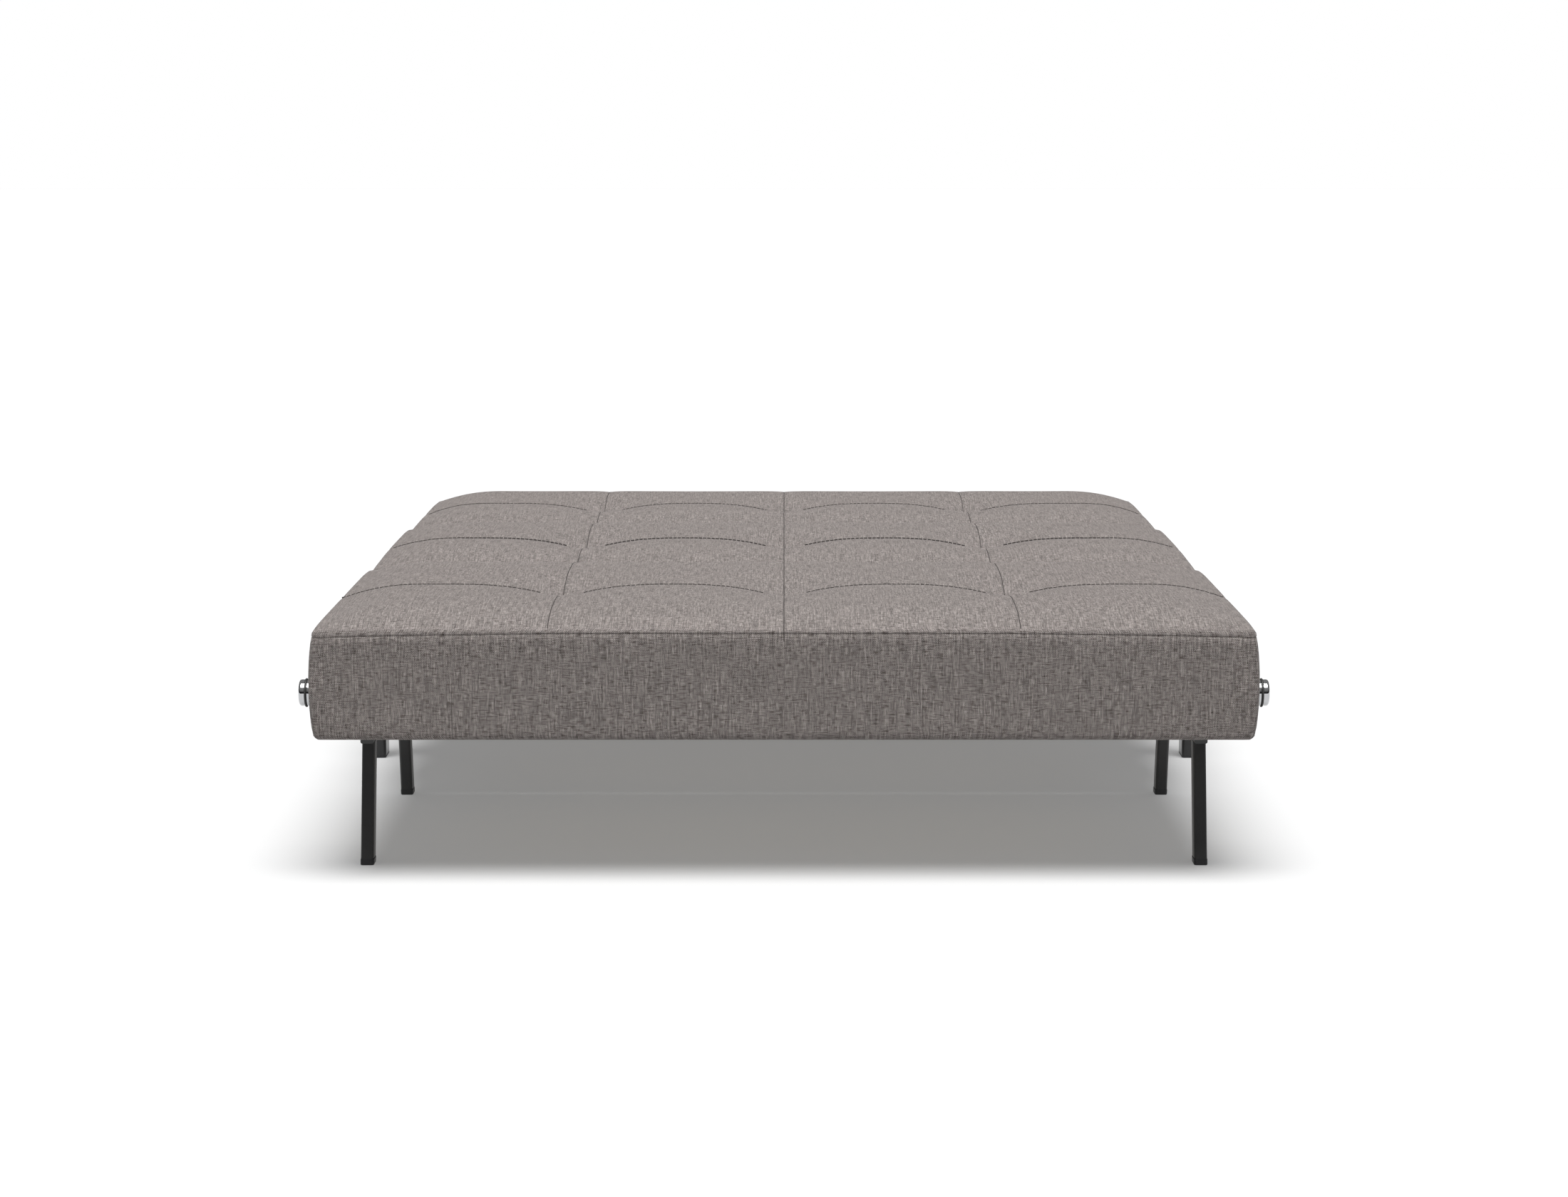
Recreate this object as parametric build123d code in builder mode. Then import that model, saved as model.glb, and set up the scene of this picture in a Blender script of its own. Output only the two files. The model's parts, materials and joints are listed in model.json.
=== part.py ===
"""Three-section futon sofa bed, shown flat as a bed.

Millimetres, +Z up, origin on the floor under the middle of the bed.  The seat
front faces -Y.  Y stations are counted from that front face, so every profile
is drawn in the YZ plane with the station less FRONT_TO_MIDDLE.

Bodies: the base and seat stay put; the back turns on two side pivots; the rear
section turns on the back; the end legs turn in the rear section's frame.
"""
import os

from build123d import *

os.makedirs("parts", exist_ok=True)

# Overall size
BED_LENGTH = 2000
BED_HALF_WIDTH = 702
FRONT_TO_MIDDLE = BED_LENGTH / 2
UNDERSIDE_Z = 215
CROWN_Z = 392

# Upholstered sections: first and last station of each
SEAT = (0, 727)
BACK = (736, 1362)
REAR = (1368, 2000)
PAD_COLUMNS = 4
PAD_ROWS = 2
PAD_FILLET = 30
CORNER_RADIUS = 12
FAR_CORNER_RADIUS = 55
BOTTOM_RADIUS = 11
COVER_THICKNESS = 2.5
TURN_UNDER = 40.5
FOAM_INSET = 10
FOAM_TOP_Z = 358

# Frames inside the sections
FRAME_HALF_WIDTH = 657
FRAME_WIDTH = 40
FRAME_HEIGHT = 30
FRAME_INSET = 43
SLAT_WIDTH = 60
SLAT_THICKNESS = 12
FRAME_TOP_Z = UNDERSIDE_Z + FRAME_HEIGHT
SLAT_TOP_Z = FRAME_TOP_Z + SLAT_THICKNESS

# Base
LEG_X = 638
LEG_WIDTH = 20
LEG_DEPTH = 32
RAIL_BOTTOM_Z = 185
FOOT_HEIGHT = 10
FRONT_FOOT_Y = 127
FRONT_LEAN = 13
MIDDLE_FOOT_Y = 715
MIDDLE_LEAN = -17
SIDE_RAIL = (150, 702)
EXTENSION_Z = (110, 150)
EXTENSION_WIDTH = 20
CROSS_TUBE_Y = (1080, 1110)
REAR_LEG_Y = (1076, 1133)
REAR_LEG_X = (713, 743)
REAR_LEG_TOP_Z = 300
GLIDE_HEIGHT = 4

# Pivots: station and height
BACK_PIVOT = (836, 330)
REAR_PIVOT = (1365, 205)
END_LEG_PIVOT = (1800, 230)
RUNNING_CLEARANCE = 0.05
PLATE_THICKNESS = 4
PIVOT_RADIUS = 6
PIVOT_EAR = 14
BACK_PLATE_X = 707
BASE_PLATE_X = 713

# Hinges between the back and rear frames
HINGE_X = (-480, 0, 480)
BARREL = 8
HINGE_PIN = 3
LEAF = 3
LEAF_TOP_Z = UNDERSIDE_Z

# Studs on the seat's sides
STUD_Y = 100
STUD_Z = 272
STUD_RADIUS = 20
STUD_END_X = 732.6
STUD_ROOT_X = 662
STUD_RIM = 4
RING_X = 722
RING_CORD = 1.75

# End legs
POST = 25
POST_OUTER_X = 613
CROSSBAR_Z = 62
CROSSBAR_RADIUS = 10


def at_y(station):
    """Frame Y of a station counted from the seat's front face."""
    return station - FRONT_TO_MIDDLE


def box_between(x_range, stations, z_range, mode=Mode.ADD):
    """Axis-aligned box in the part being built."""
    x0, x1 = x_range
    y0, y1 = (at_y(s) for s in stations)
    z0, z1 = z_range
    with Locations(((x0 + x1) / 2, (y0 + y1) / 2, (z0 + z1) / 2)):
        Box(x1 - x0, y1 - y0, z1 - z0, mode=mode)


def side_plane(x):
    """YZ plane at x: its local x runs along +Y and its local y along +Z."""
    return Plane(origin=(x, 0, 0), x_dir=(0, 1, 0), z_dir=(1, 0, 0))


def x_cylinder(pivot, radius, x_range, mode=Mode.ADD):
    """Cylinder along X about a pivot given as station and height."""
    start, end = x_range
    with Locations(((start + end) / 2, at_y(pivot[0]), pivot[1])):
        Cylinder(radius, end - start, rotation=(0, 90, 0), mode=mode)


def save(part, label):
    """Name a finished part and write its STEP file."""
    part.label = label
    export_step(part, f"parts/{label}.step")


# ---------------------------------------------------------------- upholstery


def outline_prism(section, inset, top_z):
    """Block with the section's plan outline and rounded bottom edge, shrunk by inset."""
    start, end = section
    far_radius = FAR_CORNER_RADIUS if section == REAR else CORNER_RADIUS
    with BuildPart() as prism:
        box_between(
            (-BED_HALF_WIDTH + inset, BED_HALF_WIDTH - inset),
            (start + inset, end - inset),
            (UNDERSIDE_Z + inset, top_z),
        )
        upright = prism.edges().filter_by(Axis.Z).sort_by(Axis.Y)
        fillet(upright[:2], max(CORNER_RADIUS - inset, 1))
        fillet(upright[2:], max(far_radius - inset, 1))
        if inset < BOTTOM_RADIUS - 2:
            fillet(prism.faces().sort_by(Axis.Z)[0].edges(), BOTTOM_RADIUS - inset)
    return prism.part


def cushion_shape(section, inset):
    """Outline prism with a 4 x 2 grid of crowned pads on top, shrunk inward by inset."""
    start, end = section
    pad_x = 2 * BED_HALF_WIDTH / PAD_COLUMNS
    pad_y = (end - start) / PAD_ROWS
    seam_z = CROWN_Z - PAD_FILLET
    with BuildPart() as pad:
        with Locations((0, 0, seam_z - 20)):
            Box(
                pad_x - 2 * inset,
                pad_y - 2 * inset,
                PAD_FILLET + 20 - inset,
                align=(Align.CENTER, Align.CENTER, Align.MIN),
            )
        fillet(pad.faces().sort_by(Axis.Z)[-1].edges(), PAD_FILLET - inset)
    base = outline_prism(section, inset, seam_z - inset)
    limit = outline_prism(section, inset, CROWN_Z + 1)
    with BuildPart() as shape:
        add(base)
        with Locations((0, at_y((start + end) / 2), 0)):
            with GridLocations(pad_x, pad_y, PAD_COLUMNS, PAD_ROWS):
                add(pad.part)
        add(limit, mode=Mode.INTERSECT)
    return shape.part


def frame_span(section):
    """Stations of the frame inside a section."""
    return section[0] + FRAME_INSET, section[1] - FRAME_INSET


def stud_pockets():
    """Cut the room for the side studs and their plates out of a soft part."""
    for side in (-1, 1):
        x_range = sorted((side * (STUD_ROOT_X - 0.5), side * (BED_HALF_WIDTH + 1)))
        x_cylinder((STUD_Y, STUD_Z), STUD_RADIUS + 0.5, x_range, Mode.SUBTRACT)
        box_between(
            sorted((side * (FRAME_HALF_WIDTH - 1), side * (STUD_ROOT_X + 0.5))),
            (STUD_Y - 31, STUD_Y + 31),
            (UNDERSIDE_Z + COVER_THICKNESS, STUD_Z + 31),
            Mode.SUBTRACT,
        )


def build_cover(section, label):
    """Fabric skin, open underneath with a turned-under edge."""
    start, end = section
    outside = cushion_shape(section, 0)
    inside = cushion_shape(section, COVER_THICKNESS)
    with BuildPart() as cover:
        add(outside)
        add(inside, mode=Mode.SUBTRACT)
        box_between(
            (-BED_HALF_WIDTH + TURN_UNDER + 2, BED_HALF_WIDTH - TURN_UNDER - 2),
            (start + TURN_UNDER, end - TURN_UNDER),
            (UNDERSIDE_Z - 1, UNDERSIDE_Z + COVER_THICKNESS + 1),
            Mode.SUBTRACT,
        )
        if label == "seat_cover":
            stud_pockets()
    save(cover.part, label)


def build_wadding(section, label):
    """Quilted wadding pads between the foam and the cover."""
    cushion = cushion_shape(section, COVER_THICKNESS)
    with BuildPart() as wadding:
        add(cushion)
        box_between(
            (-BED_HALF_WIDTH, BED_HALF_WIDTH),
            section,
            (UNDERSIDE_Z, FOAM_TOP_Z),
            Mode.SUBTRACT,
        )
    save(wadding.part, label)


def build_foam(section, label):
    """Flat foam slab over the slats."""
    slab = outline_prism(section, FOAM_INSET, FOAM_TOP_Z)
    with BuildPart() as foam:
        add(slab)
        box_between(
            (-BED_HALF_WIDTH, BED_HALF_WIDTH),
            section,
            (UNDERSIDE_Z, SLAT_TOP_Z),
            Mode.SUBTRACT,
        )
        if label == "seat_foam":
            stud_pockets()
    save(foam.part, label)


def build_edge_strips(section, label):
    """Four foam strips that pad the frame out to the cover."""
    start, end = section
    z_range = (UNDERSIDE_Z, SLAT_TOP_Z)
    y_inner = frame_span(section)
    outline = outline_prism(section, COVER_THICKNESS, SLAT_TOP_Z)
    with BuildPart() as strips:
        for side in (-1, 1):
            x_range = sorted((side * (FRAME_HALF_WIDTH + 0.5), side * BED_HALF_WIDTH))
            box_between(x_range, section, z_range)
        for y_range in ((start, y_inner[0]), (y_inner[1], end)):
            box_between((-FRAME_HALF_WIDTH, FRAME_HALF_WIDTH), y_range, z_range)
        add(outline, mode=Mode.INTERSECT)
        if label == "seat_edge_strips":
            stud_pockets()
    save(strips.part, label)


def build_slats(section, label):
    """Plywood slats lying across the frame."""
    y0, y1 = frame_span(section)
    count = 6
    pitch = (y1 - y0 - SLAT_WIDTH - 10) / (count - 1)
    with BuildPart() as slats:
        with Locations((0, at_y((y0 + y1) / 2), FRAME_TOP_Z + SLAT_THICKNESS / 2)):
            with GridLocations(1, pitch, 1, count):
                Box(2 * FRAME_HALF_WIDTH - 4, SLAT_WIDTH, SLAT_THICKNESS)
        fillet(slats.edges().filter_by(Axis.Z), 5)
    save(slats.part, label)


def build_frame(section, prefix, pivot=None):
    """Two side tubes and two end tubes of a section's frame."""
    y0, y1 = frame_span(section)
    z_range = (UNDERSIDE_Z, FRAME_TOP_Z)
    inner = FRAME_HALF_WIDTH - FRAME_WIDTH
    with BuildPart() as sides:
        for side in (-1, 1):
            x_range = sorted((side * inner, side * FRAME_HALF_WIDTH))
            box_between(x_range, (y0, y1), z_range)
        fillet(sides.edges().filter_by(Axis.Y), 3)
        if pivot is not None:
            x_cylinder(pivot, 5, (-FRAME_HALF_WIDTH, FRAME_HALF_WIDTH), Mode.SUBTRACT)
    save(sides.part, f"{prefix}_frame_sides")
    with BuildPart() as ends:
        for y_range in ((y0, y0 + FRAME_WIDTH), (y1 - FRAME_WIDTH, y1)):
            box_between((-inner, inner), y_range, z_range)
        fillet(ends.edges().filter_by(Axis.X), 3)
    save(ends.part, f"{prefix}_frame_ends")


# ---------------------------------------------------------------------- base


def leaning_profile(foot_y, lean, z_range):
    """Parallelogram of a leaning leg between two heights, drawn in the YZ plane."""
    slope = Vector(0, 1).rotate(Axis.Z, -lean)
    slope = slope / slope.Y
    depth = LEG_DEPTH
    corners = []
    for z, offset in ((z_range[0], 0), (z_range[0], depth), (z_range[1], depth), (z_range[1], 0)):
        corners.append((at_y(foot_y) + offset + slope.X * z, z))
    Polygon(*corners, align=None)


def build_leaning_leg(side, foot_y, lean, label):
    """Flat tube leg from its foot up to the side rail."""
    with BuildPart() as leg:
        with BuildSketch(side_plane(side * LEG_X)):
            leaning_profile(foot_y, lean, (FOOT_HEIGHT, RAIL_BOTTOM_Z))
        extrude(amount=LEG_WIDTH / 2, both=True)
        long_edges = leg.edges().filter_by(lambda e: abs(e.tangent_at(0.5).Z) > 0.5)
        fillet(long_edges, 4)
    save(leg.part, label)


def build_leaning_feet(foot_y, lean, label):
    """Plastic feet under a pair of leaning legs, with a groove where they meet."""
    with BuildPart() as feet:
        for side in (-1, 1):
            with BuildSketch(side_plane(side * LEG_X)):
                leaning_profile(foot_y, lean, (0, FOOT_HEIGHT - 1))
            extrude(amount=LEG_WIDTH / 2 + 0.5, both=True)
        fillet(feet.edges().filter_by(lambda e: abs(e.tangent_at(0.5).Z) > 0.5), 4)
        fillet(feet.faces().filter_by(Axis.Z).group_by(Axis.Z)[0].edges(), 1.5)
        for side in (-1, 1):
            with BuildSketch(side_plane(side * LEG_X)):
                leaning_profile(foot_y, lean, (FOOT_HEIGHT - 1, FOOT_HEIGHT))
            extrude(amount=LEG_WIDTH / 2 - 1.5, both=True)
    save(feet.part, label)


def build_side_rails():
    """Rails under the seat that carry its frame and stand on the leaning legs."""
    for side, name in ((-1, "left"), (1, "right")):
        with BuildPart() as rail:
            x_range = (side * LEG_X - LEG_WIDTH / 2, side * LEG_X + LEG_WIDTH / 2)
            box_between(x_range, SIDE_RAIL, (RAIL_BOTTOM_Z, UNDERSIDE_Z))
            fillet(rail.edges().filter_by(Axis.Y), 3)
        save(rail.part, f"side_rail_{name}")


def build_cross_tubes():
    """Tubes across the base: one under the seat, one between the rear legs."""
    inner = LEG_X - LEG_WIDTH / 2
    with BuildPart() as front:
        box_between((-inner, inner), (230, 260), (RAIL_BOTTOM_Z, UNDERSIDE_Z))
        fillet(front.edges().filter_by(Axis.X), 3)
    save(front.part, "front_cross_tube")
    with BuildPart() as rear:
        box_between((-REAR_LEG_X[0], REAR_LEG_X[0]), CROSS_TUBE_Y, EXTENSION_Z)
        fillet(rear.edges().filter_by(Axis.X), 3)
    save(rear.part, "rear_cross_tube")


def build_extension_rails():
    """Low rails that tie the middle legs to the rear cross tube."""
    outer = LEG_X - LEG_WIDTH / 2
    for side, name in ((-1, "left"), (1, "right")):
        with BuildPart() as rail:
            x_range = sorted((side * (outer - EXTENSION_WIDTH), side * outer))
            box_between(x_range, (670, CROSS_TUBE_Y[0]), EXTENSION_Z)
            fillet(rail.edges().filter_by(Axis.Y), 3)
        save(rail.part, f"extension_rail_{name}")


def build_rear_legs():
    """Upright outboard legs, their top caps and their glides."""
    for side, name in ((-1, "left"), (1, "right")):
        x_range = sorted(side * x for x in REAR_LEG_X)
        with BuildPart() as leg:
            box_between(x_range, REAR_LEG_Y, (GLIDE_HEIGHT, REAR_LEG_TOP_Z))
            fillet(leg.edges().filter_by(Axis.Z), 5)
        save(leg.part, f"rear_leg_{name}")
    with BuildPart() as caps:
        for side in (-1, 1):
            x_range = sorted(side * x for x in REAR_LEG_X)
            box_between(x_range, REAR_LEG_Y, (REAR_LEG_TOP_Z, REAR_LEG_TOP_Z + 4))
        fillet(caps.edges().filter_by(Axis.Z), 5)
        fillet(caps.faces().filter_by(Axis.Z).group_by(Axis.Z)[-1].edges(), 2)
    save(caps.part, "rear_leg_caps")
    with BuildPart() as glides:
        for side in (-1, 1):
            x_range = sorted(side * x for x in REAR_LEG_X)
            box_between(x_range, REAR_LEG_Y, (0, GLIDE_HEIGHT))
        fillet(glides.edges().filter_by(Axis.Z), 5)
        fillet(glides.faces().filter_by(Axis.Z).group_by(Axis.Z)[0].edges(), 1)
    save(glides.part, "rear_leg_glides")


def build_pivot_brackets():
    """Plates that reach forward from the rear legs to the back's pivots."""
    pivot_y, pivot_z = at_y(BACK_PIVOT[0]), BACK_PIVOT[1]
    leg_y = at_y(REAR_LEG_Y[0])
    for side, name in ((-1, "left"), (1, "right")):
        x0 = min(side * BASE_PLATE_X, side * (BASE_PLATE_X + PLATE_THICKNESS))
        with BuildPart() as bracket:
            with BuildSketch(side_plane(x0)):
                with Locations((pivot_y, pivot_z)):
                    Circle(PIVOT_EAR)
                Polygon(
                    (pivot_y - 7, pivot_z - 12),
                    (leg_y, 200),
                    (leg_y, 290),
                    (pivot_y + 2, pivot_z + 13.8),
                    align=None,
                )
            extrude(amount=PLATE_THICKNESS)
            x_cylinder(BACK_PIVOT, PIVOT_RADIUS, (x0 - 1, x0 + PLATE_THICKNESS + 1), Mode.SUBTRACT)
        save(bracket.part, f"pivot_bracket_{name}")
    with BuildPart() as pins:
        for side in (-1, 1):
            shank = sorted((side * (BACK_PLATE_X + 0.2), side * (BASE_PLATE_X + PLATE_THICKNESS)))
            head = sorted(
                (
                    side * (BASE_PLATE_X + PLATE_THICKNESS),
                    side * (BASE_PLATE_X + 2 * PLATE_THICKNESS),
                )
            )
            x_cylinder(BACK_PIVOT, PIVOT_RADIUS, shank)
            x_cylinder(BACK_PIVOT, 9, head)
    save(pins.part, "pivot_pins")
    with BuildPart() as washers:
        for side in (-1, 1):
            x_range = sorted((side * (BACK_PLATE_X + PLATE_THICKNESS + 0.1), side * BASE_PLATE_X))
            x_cylinder(BACK_PIVOT, 12, x_range)
            x_cylinder(BACK_PIVOT, PIVOT_RADIUS, x_range, Mode.SUBTRACT)
    save(washers.part, "pivot_washers")


# ------------------------------------------------------------- side studs


def build_studs():
    """Round chrome studs on the seat's sides, their rings and their plates."""
    groove = STUD_RADIUS + 2 - 2 * RING_CORD
    for side, name in ((-1, "left"), (1, "right")):
        root, tip = side * STUD_ROOT_X, side * STUD_END_X
        with BuildPart() as stud:
            x_cylinder((STUD_Y, STUD_Z), STUD_RADIUS, sorted((root, tip)))
            rim = stud.faces().sort_by(Axis.X)[-1 if side > 0 else 0].edges()
            fillet(rim, STUD_RIM)
            ring_x = (side * RING_X - 2, side * RING_X + 2)
            x_cylinder((STUD_Y, STUD_Z), STUD_RADIUS + 2, ring_x, Mode.SUBTRACT)
            x_cylinder((STUD_Y, STUD_Z), groove, ring_x)
        save(stud.part, f"side_stud_{name}")
    with BuildPart() as rings:
        for side in (-1, 1):
            with Locations(Location((side * RING_X, at_y(STUD_Y), STUD_Z), (0, 90, 0))):
                Torus(STUD_RADIUS + 2 - RING_CORD, RING_CORD)
    save(rings.part, "stud_rings")
    with BuildPart() as plates:
        for side in (-1, 1):
            x_range = sorted((side * FRAME_HALF_WIDTH, side * STUD_ROOT_X))
            box_between(x_range, (STUD_Y - 30, STUD_Y + 30), (UNDERSIDE_Z + 3, STUD_Z + 30))
        fillet(plates.edges().filter_by(Axis.X), 5)
    save(plates.part, "stud_plates")


# ------------------------------------------------------ back section's hinge


def build_back_plates():
    """Side plates that hang the back frame from its pivots, bent in under the frame."""
    pivot_y, pivot_z = at_y(BACK_PIVOT[0]), BACK_PIVOT[1]
    foot = (at_y(790), at_y(930))
    low = UNDERSIDE_Z - PLATE_THICKNESS
    for side, name in ((-1, "left"), (1, "right")):
        x0 = min(side * BACK_PLATE_X, side * (BACK_PLATE_X + PLATE_THICKNESS))
        with BuildPart() as plate:
            with BuildSketch(side_plane(x0)):
                with Locations((pivot_y, pivot_z)):
                    Circle(PIVOT_EAR)
                Polygon(
                    (foot[0], low),
                    (foot[1], low),
                    (foot[1], low + 30),
                    (pivot_y + 13.5, pivot_z + 3),
                    (pivot_y - 13.5, pivot_z + 3),
                    (foot[0], low + 30),
                    align=None,
                )
            extrude(amount=PLATE_THICKNESS)
            inner = side * (FRAME_HALF_WIDTH - FRAME_WIDTH)
            box_between(
                sorted((inner, side * (BACK_PLATE_X + PLATE_THICKNESS))),
                (790, 930),
                (low, UNDERSIDE_Z),
            )
            x_cylinder(
                BACK_PIVOT,
                PIVOT_RADIUS + RUNNING_CLEARANCE,
                (x0 - 1, x0 + PLATE_THICKNESS + 1),
                Mode.SUBTRACT,
            )
            with Locations(*((side * LEG_X, at_y(y), low) for y in (825, 895))):
                Cylinder(4.2, 20, mode=Mode.SUBTRACT)
        save(plate.part, f"back_plate_{name}")
    with BuildPart() as bolts:
        for side in (-1, 1):
            for y in (825, 895):
                with BuildSketch(Plane.XY.offset(low - 5)):
                    with Locations((side * LEG_X, at_y(y))):
                        RegularPolygon(7, 6)
                extrude(amount=5)
                with Locations((side * LEG_X, at_y(y), low)):
                    Cylinder(4, PLATE_THICKNESS, align=(Align.CENTER, Align.CENTER, Align.MIN))
    save(bolts.part, "back_plate_bolts")


# ------------------------------------------------- hinges between back and rear


def hinge_leaf(x, stations, barrel_spans, gap_end, bore):
    """One hinge leaf: a plate under the frame and barrels round the rear pivot."""
    y, z = REAR_PIVOT
    box_between((x - 60, x + 60), stations, (LEAF_TOP_Z - LEAF, LEAF_TOP_Z))
    for start, end in barrel_spans:
        box_between((x + start, x + end), sorted((gap_end, y)), (LEAF_TOP_Z - LEAF, LEAF_TOP_Z))
        box_between((x + start, x + end), (y - 1.5, y + 1.5), (z + BARREL - 3, LEAF_TOP_Z))
        x_cylinder(REAR_PIVOT, BARREL, (x + start, x + end))
    for start, end in barrel_spans:
        x_cylinder(REAR_PIVOT, bore, (x + start - 0.2, x + end + 0.2), Mode.SUBTRACT)


def build_hinges():
    """Three leaf hinges with their pins, between the back and rear frames."""
    y, _ = REAR_PIVOT
    back_edge = BACK[1] - FRAME_INSET - FRAME_WIDTH
    rear_edge = REAR[0] + FRAME_INSET + FRAME_WIDTH
    with BuildPart() as back_leaves:
        for x in HINGE_X:
            spans = ((-60, -30.5), (30.5, 60))
            hinge_leaf(x, (back_edge, y - 12), spans, y - 12, HINGE_PIN)
    save(back_leaves.part, "back_hinge_leaves")
    with BuildPart() as rear_leaves:
        for x in HINGE_X:
            hinge_leaf(x, (y + 12, rear_edge), ((-30, 30),), y + 12, HINGE_PIN + RUNNING_CLEARANCE)
    save(rear_leaves.part, "rear_hinge_leaves")
    with BuildPart() as pins:
        for x in HINGE_X:
            x_cylinder(REAR_PIVOT, HINGE_PIN, (x - 60, x + 60))
            for side in (-1, 1):
                x_cylinder(REAR_PIVOT, 5, sorted((x + side * 60, x + side * 63)))
    save(pins.part, "hinge_pins")


# -------------------------------------------------------------------- end legs


def build_end_legs():
    """Fold-down legs of the rear section: two posts, a crossbar and feet."""
    y, z = END_LEG_PIVOT
    stations = (y - POST / 2, y + POST / 2)
    for side, name in ((-1, "left"), (1, "right")):
        x_range = sorted((side * (POST_OUTER_X - POST), side * POST_OUTER_X))
        with BuildPart() as post:
            box_between(x_range, stations, (8, z))
            fillet(post.edges().filter_by(Axis.Z), 3)
            x_cylinder(END_LEG_PIVOT, POST / 2, x_range)
            bore = (x_range[0] - 1, x_range[1] + 1)
            x_cylinder(END_LEG_PIVOT, 5 + RUNNING_CLEARANCE, bore, Mode.SUBTRACT)
        save(post.part, f"end_leg_{name}")
    inner = POST_OUTER_X - POST
    with BuildPart() as crossbar:
        x_cylinder((y, CROSSBAR_Z), CROSSBAR_RADIUS, (-inner, inner))
    save(crossbar.part, "end_leg_crossbar")
    with BuildPart() as feet:
        for side in (-1, 1):
            x_range = sorted((side * (POST_OUTER_X - POST), side * POST_OUTER_X))
            box_between(x_range, stations, (0, 8))
        fillet(feet.edges().filter_by(Axis.Z), 3)
        fillet(feet.faces().filter_by(Axis.Z).group_by(Axis.Z)[0].edges(), 1.5)
    save(feet.part, "end_leg_feet")
    with BuildPart() as bolts:
        for side in (-1, 1):
            shank = sorted((side * (inner - 0.1), side * FRAME_HALF_WIDTH))
            head = sorted((side * (inner - 5), side * (inner - 0.1)))
            x_cylinder(END_LEG_PIVOT, 5, shank)
            x_cylinder(END_LEG_PIVOT, 9, head)
    save(bolts.part, "end_leg_bolts")
    with BuildPart() as washers:
        for side in (-1, 1):
            x_range = sorted(
                (side * (POST_OUTER_X + 0.1), side * (FRAME_HALF_WIDTH - FRAME_WIDTH))
            )
            x_cylinder(END_LEG_PIVOT, 10, x_range)
            x_cylinder(END_LEG_PIVOT, 5, x_range, Mode.SUBTRACT)
    save(washers.part, "end_leg_washers")


# ------------------------------------------------------------------------ build

for section, prefix, pivot in (
    (SEAT, "seat", None),
    (BACK, "back", None),
    (REAR, "rear", END_LEG_PIVOT),
):
    build_cover(section, f"{prefix}_cover")
    build_wadding(section, f"{prefix}_wadding")
    build_foam(section, f"{prefix}_foam")
    build_edge_strips(section, f"{prefix}_edge_strips")
    build_slats(section, f"{prefix}_slats")
    build_frame(section, prefix, pivot)

for side, name in ((-1, "left"), (1, "right")):
    build_leaning_leg(side, FRONT_FOOT_Y, FRONT_LEAN, f"front_leg_{name}")
    build_leaning_leg(side, MIDDLE_FOOT_Y, MIDDLE_LEAN, f"middle_leg_{name}")
build_leaning_feet(FRONT_FOOT_Y, FRONT_LEAN, "front_feet")
build_leaning_feet(MIDDLE_FOOT_Y, MIDDLE_LEAN, "middle_feet")
build_side_rails()
build_cross_tubes()
build_extension_rails()
build_rear_legs()
build_pivot_brackets()
build_studs()
build_back_plates()
build_hinges()
build_end_legs()
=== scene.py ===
"""Looks for the three-section futon sofa bed: upholstery, finishes, light and camera.

Metres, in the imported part's frame: +Z up, the seat's front faces -Y.
"""

import json
import math

import bpy
import numpy as np
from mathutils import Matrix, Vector


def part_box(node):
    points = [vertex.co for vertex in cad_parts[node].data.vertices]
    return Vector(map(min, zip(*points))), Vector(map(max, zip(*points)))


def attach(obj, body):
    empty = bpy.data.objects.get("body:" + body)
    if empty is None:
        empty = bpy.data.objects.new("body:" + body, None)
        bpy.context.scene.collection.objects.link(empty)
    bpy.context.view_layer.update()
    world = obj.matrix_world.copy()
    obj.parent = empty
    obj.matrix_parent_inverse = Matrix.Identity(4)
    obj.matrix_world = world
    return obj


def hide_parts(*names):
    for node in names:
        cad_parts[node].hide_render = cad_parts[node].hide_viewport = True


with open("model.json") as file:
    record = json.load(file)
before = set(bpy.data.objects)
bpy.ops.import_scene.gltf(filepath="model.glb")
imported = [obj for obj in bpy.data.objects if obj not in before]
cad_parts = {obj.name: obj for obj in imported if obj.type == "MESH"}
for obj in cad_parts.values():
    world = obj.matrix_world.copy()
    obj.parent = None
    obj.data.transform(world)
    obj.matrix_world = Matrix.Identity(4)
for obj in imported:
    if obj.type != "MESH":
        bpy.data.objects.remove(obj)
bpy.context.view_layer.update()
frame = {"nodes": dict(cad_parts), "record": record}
nodes = frame["nodes"]

# Tufted tops: pads between lengthwise seams and one cross seam per section
COLUMNS = 4
SIDE_ROLL = 0.130
SIDE_ROLL_POWER = 2.2
GROOVE_DEPTH = 0.0016
GROOVE_HALF_WIDTH = 0.0025
GROOVE_FADE = 0.020
PILLOW_DEPTH = 0.0014
PILLOW_REACH = 0.018

# Where the seams cross, the cloth is pulled down
TUCK_DEPTH = 0.0235
TUCK_POWER = 2.6
TUCK_NEAR = 0.080
TUCK_FAR = 0.090

# Far end of the last section: corners that sag, seams that bunch at the edge
SOFT_CORNER = 0.030
SAG = 0.006
SAG_SPAN = 0.13
SAG_START = 0.05
BUNCH_HEIGHT = 0.003
BUNCH_HALF_WIDTH = 0.005
BUNCH_START = 0.05
BUNCH_RISE = 0.03

# Walls: (depth, tuck) of the sewn line under the top edge, bottom rounding, turned-under edge
EDGE_SEAM = ((0.0008, 0.0), (0.0018, 0.0009), (0.0028, 0.0))
BULGE_POWER = 0.7
BOTTOM_RADIUS = 0.009
TURN_UNDER = 0.040
FRONT_CORNER = 0.012

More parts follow.
